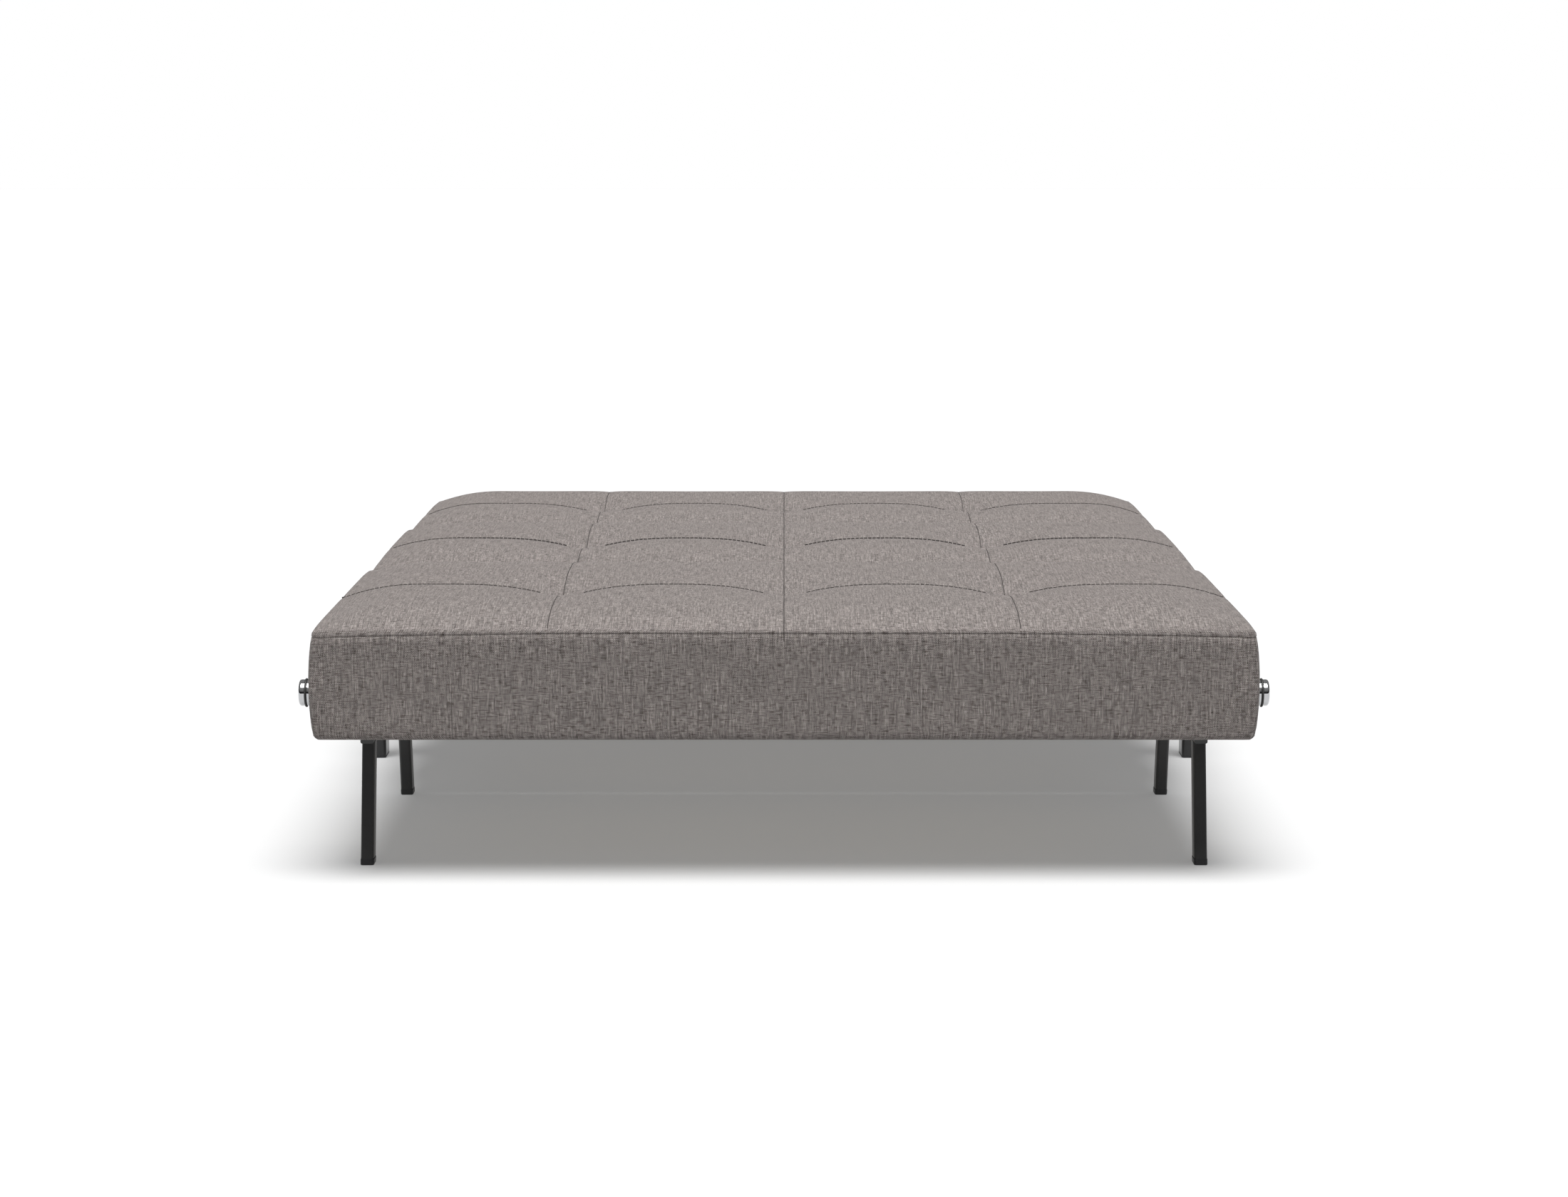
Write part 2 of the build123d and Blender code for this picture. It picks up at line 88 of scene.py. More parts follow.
# Mesh density
GRID_STEP = 0.010
SEAM_STEPS = (0.0012, 0.0025, 0.0040, 0.0075, 0.0130)
ROUNDING_ROWS = 4
WALL_ROWS = 14
FLANGE_ROWS = 3

# Cloth simulation that fills out the pads
SWELL_FRAMES = 20
SWELL_PRESSURE = 4
SWELL_LIMIT = 0.0018
PINNED_EDGE = 0.004

# Yarn: spacing, and how fine its melange and slubs are across and along a yarn
YARN_PITCH = 0.0013
YARN_GRAIN = (560.0, 85.0)
SLUB_GRAIN = (400.0, 20.0)
WEFT_OFFSET = 9.0
SLUB_OFFSET = 17.0

# Sewing thread, near black, which also paints the shade of the seam creases; the cross stitches stop
# short of the lengthwise seams, where that painted crease shade ends
ON_SEAM = 1e-5
SEAM_SEARCH = 0.02
THREAD_RADIUS = 0.0007
THREAD_LIFT = 0.0004
THREAD_SIDES = 6
STITCH_GAP_FROM_SEAM = 0.031
STITCH_PITCH = 0.0075
STITCH_LENGTH = 0.0060
STITCH_RADIUS = 0.0014

# Camera: in front of the bed, looking slightly down
CAMERA_Y = -6.279
CAMERA_Z = 1.119
CAMERA_PITCH_DOWN = 7.45
LENS = 82.6
FILM_WIDTH = 36.0

# Floor, key light, and the sky: (upward part of a direction, brightness) low and high
FLOOR_HALF = 60.0
FLOOR_DROP = 0.0005
KEY_FROM = (0.0, -0.29, 1.0)
KEY_STRENGTH = 6.7
KEY_SPREAD = 40
SKY_LOW = (0.15, 0.01)
SKY_HIGH = (0.50, 0.30)


def smooth(t):
    """Smooth step from 0 to 1 for t from 0 to 1, on numbers or arrays."""
    t = np.clip(t, 0.0, 1.0)
    return t * t * (3 - 2 * t)


# --------------------------------------------------------------- upholstery


def grid_lines(start, end, seams):
    """Grid positions from start to end: even steps, and close ones on both sides of each seam."""
    knots = [start, *seams, end]
    lines = []
    for a, b in zip(knots[:-1], knots[1:]):
        left = [a + s for s in SEAM_STEPS] if a in seams else []
        right = [b - s for s in reversed(SEAM_STEPS)] if b in seams else []
        inner_start = left[-1] if left else a
        inner_end = right[0] if right else b
        count = max(2, round((inner_end - inner_start) / GRID_STEP))
        inner = [inner_start + (inner_end - inner_start) * k / count for k in range(1, count)]
        lines += [a, *left, *inner, *right]
    lines.append(end)
    return np.array(lines)


class Section:
    """One upholstered section: a tufted top, four walls and a turned-under edge."""

    def __init__(self, prefix, body, radii, heights, reaches, rear_corner, bulge):
        """Take the outline from the section's CAD cover.

        radii: rounding of the top edge at the front, the rear and the sides
        heights: of the top at the front edge, the crown, the rear edge and the sides
        reaches: how gradually the top rises behind the front edge and before the rear edge
        """
        low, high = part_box(f"{prefix}_cover")
        self.prefix = prefix
        self.body = body
        self.half = high.x
        self.front = low.y
        self.rear = high.y
        self.bottom = low.z
        self.front_radius, self.rear_radius, self.side_radius = radii
        self.front_z, self.crown_z, self.rear_z, self.side_z = heights
        self.front_reach, self.rear_reach = reaches
        self.corner = {-1: FRONT_CORNER, 1: rear_corner}
        self.soft_corners = rear_corner > SOFT_CORNER
        self.bulge = bulge
        self.middle = (self.front + self.rear) / 2
        self.pad = 2 * self.half / COLUMNS
        self.seams_x = [-self.half + self.pad * k for k in range(1, COLUMNS)]

    def round_corners(self, x, y):
        """Move points near the section's upright corners onto concentric arcs."""
        x, y = np.array(x, float), np.array(y, float)
        for end, radius in self.corner.items():
            centre_y = self.front + radius if end < 0 else self.rear - radius
            px = np.abs(x) - (self.half - radius)
            py = (y - centre_y) * end
            inside = (px > 0) & (py > 0)
            reach = np.maximum(px, py)[inside] / np.hypot(px, py)[inside]
            side = np.sign(x)
            x[inside] = side[inside] * (self.half - radius + px[inside] * reach)
            y[inside] = centre_y + end * py[inside] * reach
        return x, y

    def inward(self, x, y, back):
        """Points moved in from the section's outline by back."""
        half_y = (self.rear - self.front) / 2
        moved_x = x * (self.half - back) / self.half
        moved_y = self.middle + (y - self.middle) * (half_y - back) / half_y
        return moved_x, moved_y

    def seam_gap(self, x):
        """Distance to the nearest lengthwise seam."""
        return np.min([np.abs(x - s) for s in self.seams_x], axis=0)

    def seam_distance(self, x, y):
        """Distance to the nearest sewn line."""
        return np.minimum(self.seam_gap(x), np.abs(y - self.middle))

    def top_height(self, x, y):
        """Height of the tufted top: nearly level pads, pulled down where the seams cross."""
        from_front = np.exp((self.front - y) / self.front_reach)
        from_rear = np.exp((y - self.rear) / self.rear_reach)
        height = self.crown_z - (self.crown_z - self.front_z) * from_front
        height = height - (self.crown_z - self.rear_z) * from_rear
        from_side = np.clip((self.half - np.abs(x)) / SIDE_ROLL, 0, 1)
        height = height - np.maximum(0, height - self.side_z) * (1 - from_side) ** SIDE_ROLL_POWER

        gap = self.seam_gap(x)
        past = y - self.middle
        reach = np.where(past < 0, TUCK_NEAR, TUCK_FAR)
        beside = np.clip(1 - gap / (self.pad / 2), 0, 1) ** TUCK_POWER
        height = height - TUCK_DEPTH * beside * np.exp(-((past / reach) ** 2))
        pillow = np.maximum(np.exp(-gap / PILLOW_REACH), np.exp(-np.abs(past) / PILLOW_REACH))
        height = height - PILLOW_DEPTH * pillow * (1 - np.maximum(from_front, from_rear))
        if self.soft_corners:
            height = self.soften_far_end(height, x, y, gap)
        return height

    def soften_far_end(self, height, x, y, gap):
        """Let the far corners sag, and bunch the cloth up where the lengthwise seams end."""
        corner_x = np.maximum(0, np.abs(x) - self.half + SAG_SPAN)
        corner_y = np.maximum(0, y - self.rear + SAG_SPAN)
        height = height - SAG * smooth((np.hypot(corner_x, corner_y) - SAG_START) / SAG_SPAN)
        beside_seam = np.exp(-((gap / BUNCH_HALF_WIDTH) ** 2))
        near_end = smooth((y - self.rear + BUNCH_START) / BUNCH_RISE)
        return height + BUNCH_HEIGHT * beside_seam * near_end

    def build(self):
        """The cover as an object with UVs along the cloth, and which vertices may swell."""
        inset_x = self.half - self.side_radius
        xs = grid_lines(-inset_x, inset_x, self.seams_x)
        ys = grid_lines(self.front + self.front_radius, self.rear - self.rear_radius, [self.middle])
        nx, ny = len(xs), len(ys)
        gx, gy = (g.ravel() for g in np.meshgrid(xs, ys))
        distance = self.seam_distance(gx, gy)
        groove = GROOVE_DEPTH * np.clip(1 - distance / GROOVE_HALF_WIDTH, 0, 1)
        end_fade = smooth(np.minimum(gy - ys[0], ys[-1] - gy) / GROOVE_FADE)
        gz = self.top_height(gx, gy) - groove * end_fade
        points = [np.column_stack((*self.round_corners(gx, gy), gz))]
        faces = []
        cloth = []
        for j in range(ny - 1):
            for i in range(nx - 1):
                a = j * nx + i
                face = (a, a + 1, a + 1 + nx, a + nx)
                faces.append(face)
                cloth += [(gx[k], gy[k]) for k in face]

        rim = list(range(nx))
        rim += [j * nx + nx - 1 for j in range(1, ny)]
        rim += [(ny - 1) * nx + i for i in range(nx - 2, -1, -1)]
        rim += [j * nx for j in range(ny - 2, 0, -1)]
        walls = [0] * (nx - 1) + [1] * (ny - 1) + [2] * (nx - 1) + [3] * (ny - 1)
        count = len(rim)
        rx, ry, rz = gx[rim], gy[rim], gz[rim]
        previous = rim
        before = np.zeros(count)
        total = nx * ny
        for x, y, z, length in self.wall_rows(rx, ry, rz, inset_x, ys):
            points.append(np.column_stack((*self.round_corners(x, y), z)))
            current = list(range(total, total + count))
            for k, wall in enumerate(walls):
                n = (k + 1) % count
                faces.append((previous[k], current[k], current[n], previous[n]))
                spans = ((k, before[k]), (k, length[k]), (n, length[n]), (n, before[n]))
                cloth += [self.wall_cloth(wall, rx[i], ry[i], out) for i, out in spans]
            previous = current
            before = length
            total += count

        piece = self.make_piece(np.vstack(points), faces, cloth)
        free = np.zeros(total, bool)
        edge = np.minimum(np.minimum(gy - ys[0], ys[-1] - gy), inset_x - np.abs(gx))
        free[: nx * ny] = (distance > GROOVE_HALF_WIDTH) & (edge > PINNED_EDGE)
        return piece, free

    def wall_rows(self, x, y, z, inset_x, ys):
        """Rows of points from the top's rim down the walls and in under the section.

        Each row has its points and how far along the cloth they are from the rim.
        """
        outer_x = x * self.half / inset_x
        along = (y - ys[0]) / (ys[-1] - ys[0])
        outer_y = self.front + along * (self.rear - self.front)
        reach = np.maximum(np.abs(outer_x - x), np.abs(outer_y - y))
        on_side = np.abs(outer_x) > self.half - 1e-6
        rows = []
        for k in range(1, ROUNDING_ROWS + 1):
            angle = math.pi / 2 * k / ROUNDING_ROWS
            row_x = x + (outer_x - x) * math.sin(angle)
            row_y = y + (outer_y - y) * math.sin(angle)
            rows.append((row_x, row_y, z - reach * (1 - math.cos(angle)), reach * angle))

        wall_top = z - reach
        wall_end = self.bottom + BOTTOM_RADIUS
        for depth, tuck in EDGE_SEAM:
            row_x, row_y = self.inward(outer_x, outer_y, tuck)
            rows.append((row_x, row_y, wall_top - depth, reach * math.pi / 2 + depth))
        seam_end = EDGE_SEAM[-1][0]
        for k in range(1, WALL_ROWS + 1):
            f = k / WALL_ROWS
            row_z = wall_top - seam_end + (wall_end - wall_top + seam_end) * f
            bulge = self.bulge * math.sin(math.pi * f) ** BULGE_POWER
            row_x = outer_x + np.where(on_side, np.sign(outer_x) * bulge, 0.0)
            rows.append((row_x, outer_y, row_z, reach * math.pi / 2 + (wall_top - row_z)))

        length = reach * math.pi / 2 + (wall_top - wall_end)
        for k in range(1, ROUNDING_ROWS + 1):
            angle = math.pi / 2 * k / ROUNDING_ROWS
            row_x, row_y = self.inward(outer_x, outer_y, BOTTOM_RADIUS * (1 - math.cos(angle)))
            row_z = np.full_like(x, wall_end - BOTTOM_RADIUS * math.sin(angle))
            rows.append((row_x, row_y, row_z, length + BOTTOM_RADIUS * angle))
        for k in range(1, FLANGE_ROWS + 1):
            back = BOTTOM_RADIUS + (TURN_UNDER - BOTTOM_RADIUS) * k / FLANGE_ROWS
            row_x, row_y = self.inward(outer_x, outer_y, back)
            row_z = np.full_like(x, self.bottom)
            rows.append((row_x, row_y, row_z, length + BOTTOM_RADIUS * (math.pi / 2 - 1) + back))
        return rows

    @staticmethod
    def wall_cloth(wall, x, y, out):
        """Cloth position on a wall (front, right, rear, left), out past the top's rim."""
        across = (0, out, 0, -out)[wall]
        along = (-out, 0, out, 0)[wall]
        return x + across, y + along

    def make_piece(self, points, faces, cloth):
        """Blender object with one UV per face corner."""
        mesh = bpy.data.meshes.new(f"{self.prefix}_upholstery")
        mesh.from_pydata(points.tolist(), [], faces)
        layer = mesh.uv_layers.new(name="cloth")
        layer.data.foreach_set("uv", np.array(cloth, np.float32).ravel())
        mesh.update()
        piece = bpy.data.objects.new(f"{self.prefix}_upholstery", mesh)
        bpy.context.scene.collection.objects.link(piece)
        return piece


def vertex_places(mesh):
    """Vertex positions as one row each."""
    places = np.zeros(len(mesh.vertices) * 3)
    mesh.vertices.foreach_get("co", places)
    return places.reshape(-1, 3)


def swell(piece, free):
    """Let the pads fill out under pressure between their pinned seams, then keep the result."""
    mesh = piece.data
    start = vertex_places(mesh)
    pins = piece.vertex_groups.new(name="pins")
    pins.add([int(k) for k in np.nonzero(~free)[0]], 1.0, "REPLACE")
    cloth = piece.modifiers.new("swell", "CLOTH")
    settings = cloth.settings
    settings.quality = 4
    settings.mass = 0.25
    settings.tension_stiffness = 12
    settings.compression_stiffness = 12
    settings.shear_stiffness = 6
    settings.bending_stiffness = 0.6
    settings.vertex_group_mass = "pins"
    settings.use_pressure = True
    settings.uniform_pressure_force = SWELL_PRESSURE
    settings.effector_weights.gravity = 0
    cloth.collision_settings.use_collision = False
    cloth.point_cache.frame_start = 1
    cloth.point_cache.frame_end = SWELL_FRAMES
    for number in range(1, SWELL_FRAMES + 1):
        bpy.context.scene.frame_set(number)
    solved = piece.evaluated_get(bpy.context.evaluated_depsgraph_get())
    step = vertex_places(solved.to_mesh()) - start
    solved.to_mesh_clear()
    piece.modifiers.remove(cloth)
    piece.vertex_groups.remove(pins)
    bpy.context.scene.frame_set(1)
    size = np.linalg.norm(step, axis=1)
    limited = SWELL_LIMIT * np.tanh(size / SWELL_LIMIT) / np.maximum(size, 1e-9)
    mesh.vertices.foreach_set("co", (start + step * limited[:, None]).ravel())
    mesh.update()


# ---------------------------------------------------------------- materials


class Nodes:
    """Short calls that add linked shader nodes to one material."""

    def __init__(self, name):
        self.material = bpy.data.materials.new(name)
        self.material.use_nodes = True
        self.tree = self.material.node_tree
        self.shader = self.tree.nodes["Principled BSDF"]

    def add(self, kind, inputs=(), **settings):
        node = self.tree.nodes.new(kind)
        for key, value in settings.items():
            setattr(node, key, value)
        for key, value in dict(inputs).items():
            self.put(node.inputs[key], value)
        return node

    def put(self, socket, value):
        if isinstance(value, bpy.types.NodeSocket):
            self.tree.links.new(value, socket)
        else:
            socket.default_value = value

    def math(self, operation, a, b=0.0):
        return self.add("ShaderNodeMath", {0: a, 1: b}, operation=operation).outputs[0]

    def noise(self, vector, scale, detail=2.0, roughness=0.5):
        inputs = {"Vector": vector, "Scale": scale, "Detail": detail, "Roughness": roughness}
        return self.add("ShaderNodeTexNoise", inputs).outputs["Fac"]

    def combine(self, x, y, z=0.0):
        return self.add("ShaderNodeCombineXYZ", {0: x, 1: y, 2: z}).outputs[0]

    def ramp(self, factor, stops):
        node = self.add("ShaderNodeValToRGB", {"Fac": factor})
        elements = node.color_ramp.elements
        while len(elements) < len(stops):
            elements.new(0.5)
        for element, (position, colour) in zip(elements, stops):
            element.position = position
            element.color = (*colour, 1.0)
        return node.outputs["Color"]

    def mix(self, factor, a, b, blend_type="MIX"):
        node = self.add("ShaderNodeMix", data_type="RGBA", blend_type=blend_type)
        self.put(node.inputs["Factor"], factor)
        self.put(node.inputs[6], a)
        self.put(node.inputs[7], b)
        return node.outputs[2]

    def bump(self, height, strength, distance):
        inputs = {"Height": height, "Strength": strength, "Distance": distance}
        node = self.add("ShaderNodeBump", inputs)
        self.put(self.shader.inputs["Normal"], node.outputs["Normal"])

    def finish(self, **values):
        for key, value in values.items():
            self.put(self.shader.inputs[key.replace("_", " ")], value)
        return self.material


def weave_material():
    """Plain weave of dark brown and pale grey melange yarns with slubs both ways."""
    n = Nodes("taupe_weave")
    uv = n.add("ShaderNodeUVMap", uv_map="cloth").outputs["UV"]
    split = n.add("ShaderNodeSeparateXYZ", {"Vector": uv})
    across, along = split.outputs["X"], split.outputs["Y"]
    warp_at = n.math("DIVIDE", across, YARN_PITCH)
    weft_at = n.math("DIVIDE", along, YARN_PITCH)
    warp = n.math("FLOOR", warp_at)
    weft = n.math("FLOOR", weft_at)
    over = n.math("FLOORED_MODULO", n.math("ADD", warp, weft), 2.0)
    fine, coarse = YARN_GRAIN
    warp_place = n.combine(n.math("MULTIPLY", across, fine), n.math("MULTIPLY", along, coarse))
    weft_x, weft_y = n.math("MULTIPLY", across, coarse), n.math("MULTIPLY", along, fine)
    weft_place = n.combine(weft_x, weft_y, WEFT_OFFSET)
    warp_slub = n.noise(warp_place, 1.0, 2.0, 0.6)
    weft_slub = n.noise(weft_place, 1.0, 2.0, 0.6)
    dark, middle, pale = (0.011, 0.008, 0.007), (0.062, 0.051, 0.047), (0.185, 0.166, 0.157)
    bright = (0.280, 0.256, 0.243)
    warp_colour = n.ramp(warp_slub, ((0.34, dark), (0.50, middle), (0.66, pale)))
    weft_colour = n.ramp(weft_slub, ((0.34, middle), (0.48, pale), (0.66, bright)))
    slub_fine, slub_coarse = SLUB_GRAIN
    slub_x, slub_y = n.math("MULTIPLY", across, slub_fine), n.math("MULTIPLY", along, slub_coarse)
    slub_place = n.combine(slub_x, slub_y, SLUB_OFFSET)
    slub = n.ramp(n.noise(slub_place, 1.0, 1.0), ((0.32, (0.76,) * 3), (0.68, (1.24,) * 3)))
    colour = n.mix(1.0, n.mix(over, warp_colour, weft_colour), slub, "MULTIPLY")
    round_warp = n.math("SINE", n.math("MULTIPLY", n.math("FRACT", warp_at), math.pi))
    round_weft = n.math("SINE", n.math("MULTIPLY", n.math("FRACT", weft_at), math.pi))
    n.bump(n.math("MULTIPLY", round_warp, round_weft), 0.5, 0.0004)
    return n.finish(
        Base_Color=colour, Roughness=0.92, Sheen_Weight=0.08, Sheen_Roughness=0.5, Specular_IOR_Level=0.2
    )


def object_coordinates(n):
    return n.add("ShaderNodeTexCoord").outputs["Object"]


def steel_material(name, shade, roughness, grain):
    """Black paint: powder texture on the matt kind, a faint ripple on the glossy kind."""
    n = Nodes(name)
    place = object_coordinates(n)
    speckle = n.noise(place, 900.0, 3.0)
    wear = n.noise(place, 14.0, 4.0)
    colour = n.ramp(wear, ((0.3, (shade,) * 3), (0.75, (shade * 1.6,) * 3)))
    rough = n.math("ADD", n.math("MULTIPLY", speckle, 0.12), roughness - 0.06)
    n.bump(speckle, grain, 0.0002)
    return n.finish(Base_Color=colour, Roughness=rough)


def chrome_material():
    n = Nodes("polished_chrome")
    smudge = n.noise(object_coordinates(n), 60.0, 3.0)
    rough = n.math("ADD", n.math("MULTIPLY", smudge, 0.05), 0.03)
    colour = n.ramp(smudge, ((0.2, (0.46, 0.47, 0.48)), (0.8, (0.55, 0.55, 0.56))))
    return n.finish(Base_Color=colour, Metallic=1.0, Roughness=rough)


def rubber_material():
    n = Nodes("black_rubber")
    grain = n.noise(object_coordinates(n), 700.0, 2.0)
    colour = n.ramp(grain, ((0.3, (0.010, 0.010, 0.010)), (0.8, (0.022, 0.022, 0.022))))
    n.bump(grain, 0.2, 0.0002)
    return n.finish(Base_Color=colour, Roughness=0.6)


def plastic_material():
    n = Nodes("moulded_black_plastic")
    grain = n.noise(object_coordinates(n), 1200.0, 3.0)
    colour = n.ramp(grain, ((0.3, (0.014, 0.014, 0.015)), (0.8, (0.026, 0.026, 0.028))))
    rough = n.math("ADD", n.math("MULTIPLY", grain, 0.15), 0.34)
    n.bump(grain, 0.25, 0.0002)
    return n.finish(Base_Color=colour, Roughness=rough)


def plywood_material():
    """Birch slats: grain along X."""
    n = Nodes("birch_plywood")
    split = n.add("ShaderNodeSeparateXYZ", {"Vector": object_coordinates(n)})
    x, y, z = (split.outputs[k] for k in range(3))
    grain = n.noise(n.combine(n.math("MULTIPLY", x, 6.0), n.math("MULTIPLY", y, 160.0), z), 1.0, 5.0)
    stops = ((0.25, (0.42, 0.27, 0.14)), (0.55, (0.62, 0.45, 0.27)), (0.8, (0.72, 0.56, 0.37)))
    colour = n.ramp(grain, stops)
    n.bump(grain, 0.2, 0.0004)
    return n.finish(Base_Color=colour, Roughness=0.55)


def foam_material():
    """Open-cell foam seen from underneath."""
    n = Nodes("pale_foam")
    inputs = {"Vector": object_coordinates(n), "Scale": 420.0}
    cells = n.add("ShaderNodeTexVoronoi", inputs).outputs["Distance"]
    colour = n.ramp(cells, ((0.1, (0.44, 0.38, 0.24)), (0.6, (0.72, 0.66, 0.46))))
    n.bump(cells, 0.6, 0.0008)
    return n.finish(Base_Color=colour, Roughness=0.95)


def wadding_material():
    """White polyester fibre."""
    n = Nodes("white_wadding")
    fibre = n.noise(object_coordinates(n), 260.0, 6.0, 0.7)
    colour = n.ramp(fibre, ((0.3, (0.60, 0.60, 0.58)), (0.7, (0.82, 0.82, 0.80))))
    n.bump(fibre, 0.5, 0.001)
    return n.finish(Base_Color=colour, Roughness=0.95)


def zinc_material():
    n = Nodes("zinc_plated_steel")
    inputs = {"Vector": object_coordinates(n), "Scale": 180.0}
    spangle = n.add("ShaderNodeTexVoronoi", inputs).outputs["Color"]
    grey = n.add("ShaderNodeRGBToBW", {"Color": spangle}).outputs["Val"]
    colour = n.ramp(grey, ((0.1, (0.42, 0.43, 0.45)), (0.9, (0.62, 0.63, 0.64))))
    rough = n.math("ADD", n.math("MULTIPLY", grey, 0.15), 0.26)
    return n.finish(Base_Color=colour, Metallic=1.0, Roughness=rough)


def floor_material():
    n = Nodes("studio_floor")
    return n.finish(
        Base_Color=(0.35, 0.35, 0.35, 1.0),
        Roughness=0.9,
        Specular_IOR_Level=0.0,
        Emission_Color=(0.980, 0.990, 1.0, 1.0),
        Emission_Strength=0.225,
    )


def thread_and_crease_shade_material():
    n = Nodes("seam_thread_and_shade")
    twist = n.noise(object_coordinates(n), 900.0, 1.0)
    # Near-black thread colour: real thread, and also painted shade of the creases along the seams
    colour = n.ramp(twist, ((0.3, (0.012, 0.009, 0.008)), (0.7, (0.030, 0.024, 0.022))))
    return n.finish(Base_Color=colour, Roughness=0.9)


MATERIALS = {
    "taupe_fabric": weave_material(),
    "foam": foam_material(),
    "wadding": wadding_material(),
    "plywood": plywood_material(),
    "black_steel": steel_material("powder_black", 0.022, 0.34, 0.25),
    "gloss_black_steel": steel_material("gloss_black", 0.012, 0.16, 0.04),
    "chrome": chrome_material(),
    "black_rubber": rubber_material(),
    "black_plastic": plastic_material(),
    "zinc_steel": zinc_material(),
}
for entry in frame["record"]["subparts"]:
    cad = nodes[entry["node"]]
    cad.data.materials.clear()
    cad.data.materials.append(MATERIALS[entry["material_slot"]])


# -------------------------------------------------------------- seams


def tube_along(points, radius, name):
    """Thin tube through points, as one mesh."""
    sides = THREAD_SIDES
    verts, faces = [], []
    for k, p in enumerate(points):
        ahead = points[min(k + 1, len(points) - 1)] - points[max(k - 1, 0)]
        ahead.normalize()
        side = ahead.cross(Vector((0, 0, 1))).normalized()
        up = side.cross(ahead).normalized()
        for s in range(sides):
            angle = 2 * math.pi * s / sides
            verts.append(p + side * math.cos(angle) * radius + up * math.sin(angle) * radius)
    for k in range(len(points) - 1):
        for s in range(sides):
            a = k * sides + s
            b = k * sides + (s + 1) % sides
            faces.append((a, b, b + sides, a + sides))
    mesh = bpy.data.meshes.new(name)
    mesh.from_pydata([tuple(v) for v in verts], [], faces)
    mesh.update()
    return mesh


def cross_stitches(section, points):
    """Separate near-black stitches along the seam across the pads, none close to the lengthwise seams;
    besides thread they paint the shade of the crease behind each pad's crest.
    """
    place = np.array([(p.x, p.y, p.z) for p in points])
    stitches = []
    x = place[0, 0]
    while x + STITCH_LENGTH < place[-1, 0]:
        ends = np.array([x, x + STITCH_LENGTH / 2, x + STITCH_LENGTH])
        if section.seam_gap(ends).min() > STITCH_GAP_FROM_SEAM:
            heights = np.interp(ends, place[:, 0], place[:, 2]) + GROOVE_DEPTH
            line = [Vector((a, section.middle, h)) for a, h in zip(ends, heights)]
            stitches.append(tube_along(line, STITCH_RADIUS, f"{section.prefix}_stitch"))
        x += STITCH_PITCH
    return stitches


def add_seams(section, piece):
    """Near-black sewing thread, which also paints the shade of the seam creases: along each lengthwise
    seam, and as stitches on the cross seam.
    """
    mesh = piece.data
    found = {}
    for vertex in mesh.vertices:
        x, y, z = vertex.co
        if z < section.side_z - SEAM_SEARCH:
            continue
        for k, seam in enumerate(section.seams_x):
            if abs(x - seam) < ON_SEAM:
                found.setdefault(("long", k), []).append(Vector((x, y, z)))
        if abs(y - section.middle) < ON_SEAM:
            found.setdefault(("cross", 0), []).append(Vector((x, y, z)))
    parts = []
    for (kind, _), points in sorted(found.items()):
        if kind == "long":
            points.sort(key=lambda p: p.y)
            lifted = [p + Vector((0, 0, THREAD_LIFT)) for p in points]
            parts.append(tube_along(lifted, THREAD_RADIUS, f"{section.prefix}_seam"))
        else:
            points.sort(key=lambda p: p.x)
            parts += cross_stitches(section, points)
    verts, faces = [], []
    for part in parts:
        base = len(verts)
        verts += [tuple(v.co) for v in part.vertices]
        faces += [tuple(base + k for k in f.vertices) for f in part.polygons]
        bpy.data.meshes.remove(part)
    joined = bpy.data.meshes.new(f"{section.prefix}_seam_thread_and_shade")
    joined.from_pydata(verts, [], faces)
    joined.materials.append(SEAM_THREAD_AND_SHADE_MATERIAL)
    thread = bpy.data.objects.new(f"{section.prefix}_seam_thread_and_shade", joined)
    bpy.context.scene.collection.objects.link(thread)
    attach(thread, section.body)


# Thread material whose near-black colour also paints the shade of the seam creases
SEAM_THREAD_AND_SHADE_MATERIAL = thread_and_crease_shade_material()
SECTIONS = (
    Section(
        "seat",
        "base_and_seat",
        radii=(0.005, 0.012, 0.010),
        heights=(0.380, 0.4050, 0.386, 0.381),
        reaches=(0.045, 0.030),
        rear_corner=0.012,
        bulge=0.0058,
    ),
    Section(
        "back",
        "back_section",
        radii=(0.030, 0.010, 0.011),
        heights=(0.371, 0.4015, 0.384, 0.379),
        reaches=(0.080, 0.030),
        rear_corner=0.012,
        bulge=0.0036,
    ),
    Section(
        "rear",
        "rear_section",
        radii=(0.014, 0.020, 0.012),
        heights=(0.367, 0.3965, 0.380, 0.374),
        reaches=(0.070, 0.035),
        rear_corner=0.055,
        bulge=0.0036,
    ),
)
for section in SECTIONS:
    piece, free = section.build()
    swell(piece, free)
    piece.data.materials.append(MATERIALS["taupe_fabric"])
    piece.data.polygons.foreach_set("use_smooth", [True] * len(piece.data.polygons))
    add_seams(section, piece)
    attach(piece, section.body)
    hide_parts(f"{section.prefix}_cover", f"{section.prefix}_wadding")


# ------------------------------------------------------------ light and camera


def floor():
    mesh = bpy.data.meshes.new("floor")
    h = FLOOR_HALF
    mesh.from_pydata([(-h, -h, 0), (h, -h, 0), (h, h, 0), (-h, h, 0)], [], [(0, 1, 2, 3)])
    mesh.materials.append(floor_material())
    plane = bpy.data.objects.new("floor", mesh)
    bpy.context.scene.collection.objects.link(plane)
    plane.location.z = -FLOOR_DROP


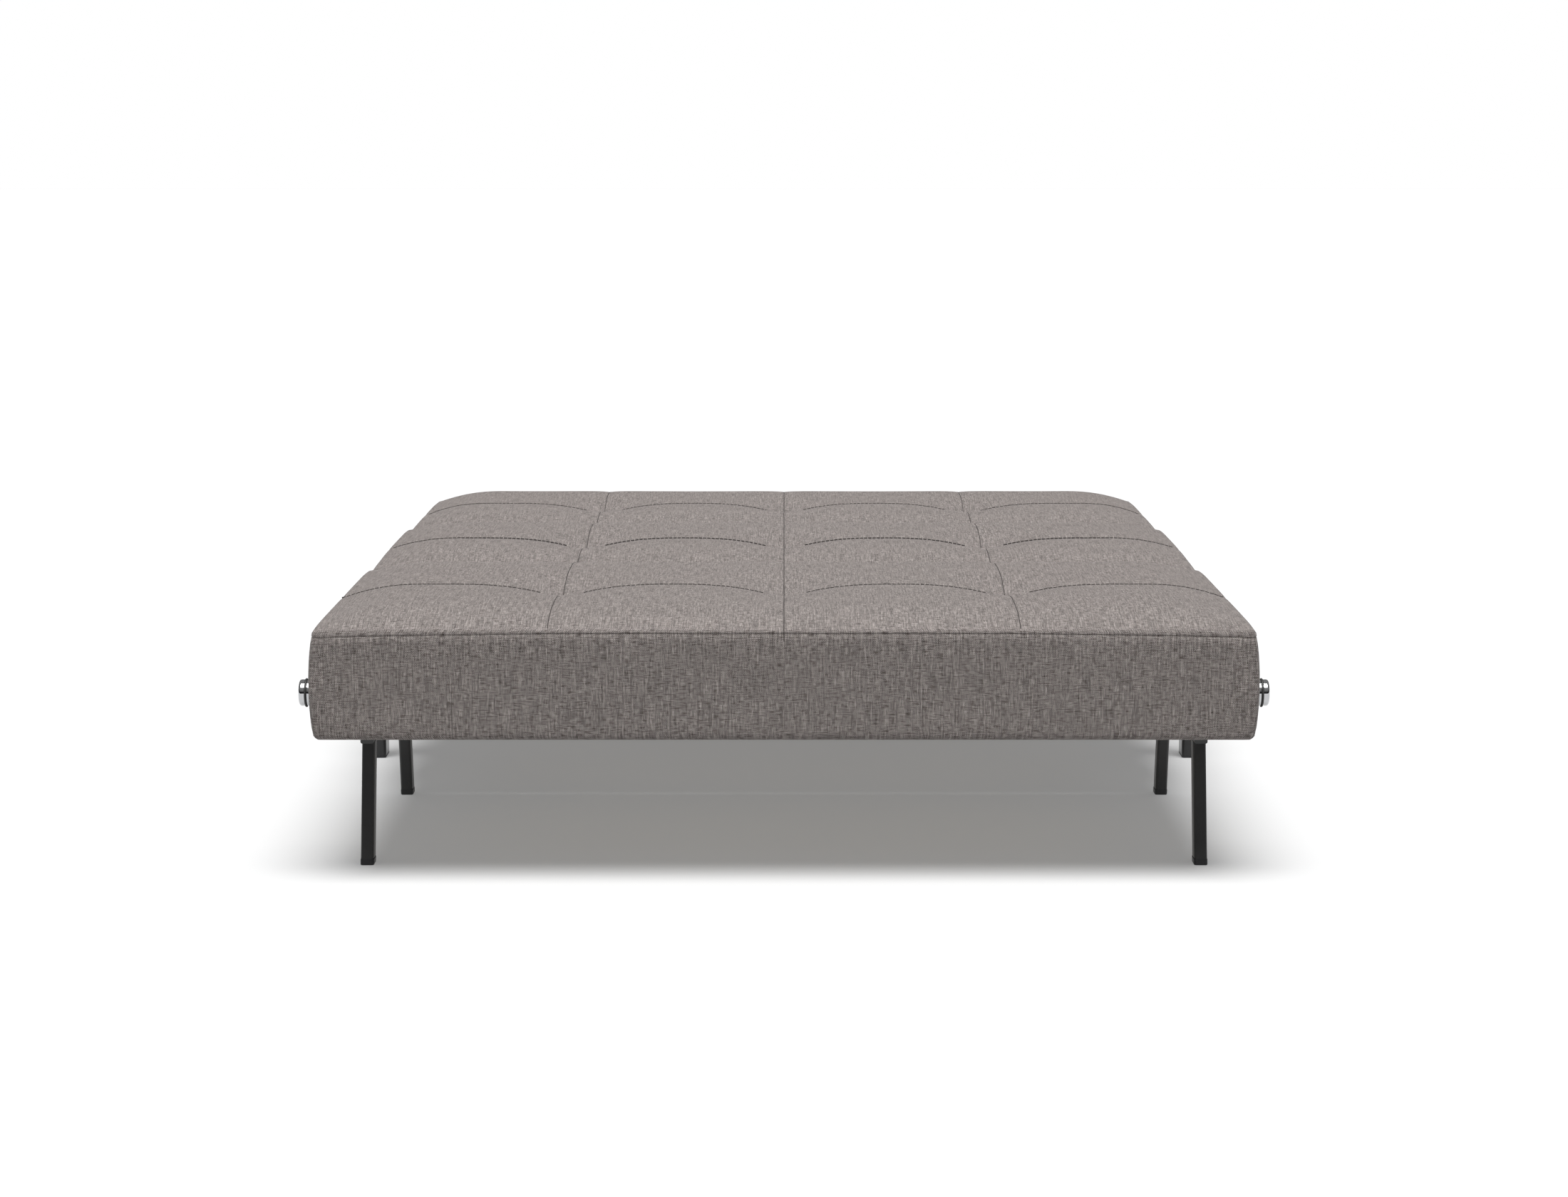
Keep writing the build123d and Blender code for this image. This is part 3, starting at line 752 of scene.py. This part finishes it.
def sun(name, direction, strength, spread):
    """Broad soft light that comes from a direction, the same everywhere on the floor."""
    light = bpy.data.lights.new(name, "SUN")
    light.energy = strength
    light.angle = math.radians(spread)
    lamp = bpy.data.objects.new(name, light)
    lamp.rotation_euler = Vector(direction).to_track_quat("Z", "Y").to_euler()
    bpy.context.scene.collection.objects.link(lamp)


def white_room():
    """Backdrop that the camera sees as white; the light it gives is dim at the horizon."""
    world = bpy.data.worlds.new("white_room")
    bpy.context.scene.world = world
    world.use_nodes = True
    tree = world.node_tree
    tree.nodes.clear()
    place = tree.nodes.new("ShaderNodeTexCoord")
    split = tree.nodes.new("ShaderNodeSeparateXYZ")
    ramp = tree.nodes.new("ShaderNodeValToRGB")
    for element, (height, shade) in zip(ramp.color_ramp.elements, (SKY_LOW, SKY_HIGH)):
        element.position = height
        element.color = (shade, shade, shade, 1)
    rays = tree.nodes.new("ShaderNodeLightPath")
    lit = tree.nodes.new("ShaderNodeBackground")
    seen = tree.nodes.new("ShaderNodeBackground")
    seen.inputs["Color"].default_value = (1, 1, 1, 1)
    mix = tree.nodes.new("ShaderNodeMixShader")
    out = tree.nodes.new("ShaderNodeOutputWorld")
    tree.links.new(place.outputs["Generated"], split.inputs[0])
    tree.links.new(split.outputs["Z"], ramp.inputs["Fac"])
    tree.links.new(ramp.outputs["Color"], lit.inputs["Color"])
    tree.links.new(rays.outputs["Is Camera Ray"], mix.inputs[0])
    tree.links.new(lit.outputs[0], mix.inputs[1])
    tree.links.new(seen.outputs[0], mix.inputs[2])
    tree.links.new(mix.outputs[0], out.inputs["Surface"])


def camera():
    data = bpy.data.cameras.new("camera")
    data.lens = LENS
    data.sensor_width = FILM_WIDTH
    view = bpy.data.objects.new("camera", data)
    view.location = (0.0, CAMERA_Y, CAMERA_Z)
    view.rotation_euler = (math.radians(90 - CAMERA_PITCH_DOWN), 0, 0)
    bpy.context.scene.collection.objects.link(view)
    bpy.context.scene.camera = view


floor()
sun("key", KEY_FROM, KEY_STRENGTH, KEY_SPREAD)
white_room()
camera()
bpy.context.scene.view_settings.view_transform = "Standard"
